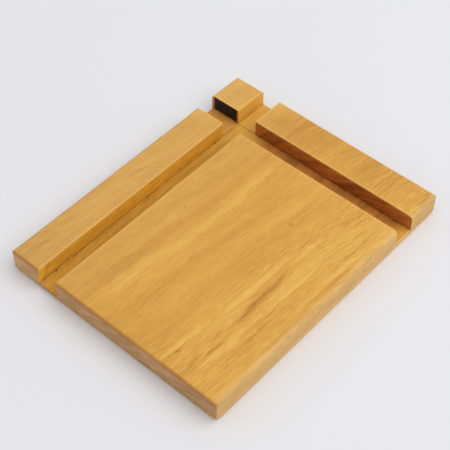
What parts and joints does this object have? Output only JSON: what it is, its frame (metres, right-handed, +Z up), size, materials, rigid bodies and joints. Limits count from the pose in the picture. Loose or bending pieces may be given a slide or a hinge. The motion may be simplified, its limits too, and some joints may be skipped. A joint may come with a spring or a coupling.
{
  "type": "grooved wooden board",
  "caption": "Small wooden board with a thin base, a raised panel, two rails and a corner block with a black face; open grooves run between them and cross near a corner.",
  "frame": {"origin": "middle of the board's outline, on the underside", "axes": "+X along the grain towards the end rail and the corner block, +Y towards the side rail, +Z up out of the board's top"},
  "size_m": [0.25, 0.2, 0.02],
  "materials": {
    "base_wood": "oiled, satin",
    "top_wood": "oiled, satin",
    "black_pad": "matte"
  },
  "bodies": {
    "root": {"base_board": "base_wood", "centre_panel": "top_wood", "side_rail": "top_wood", "end_rail": "top_wood", "corner_block": "top_wood", "face_pad": "black_pad"}
  },
  "joints": []
}
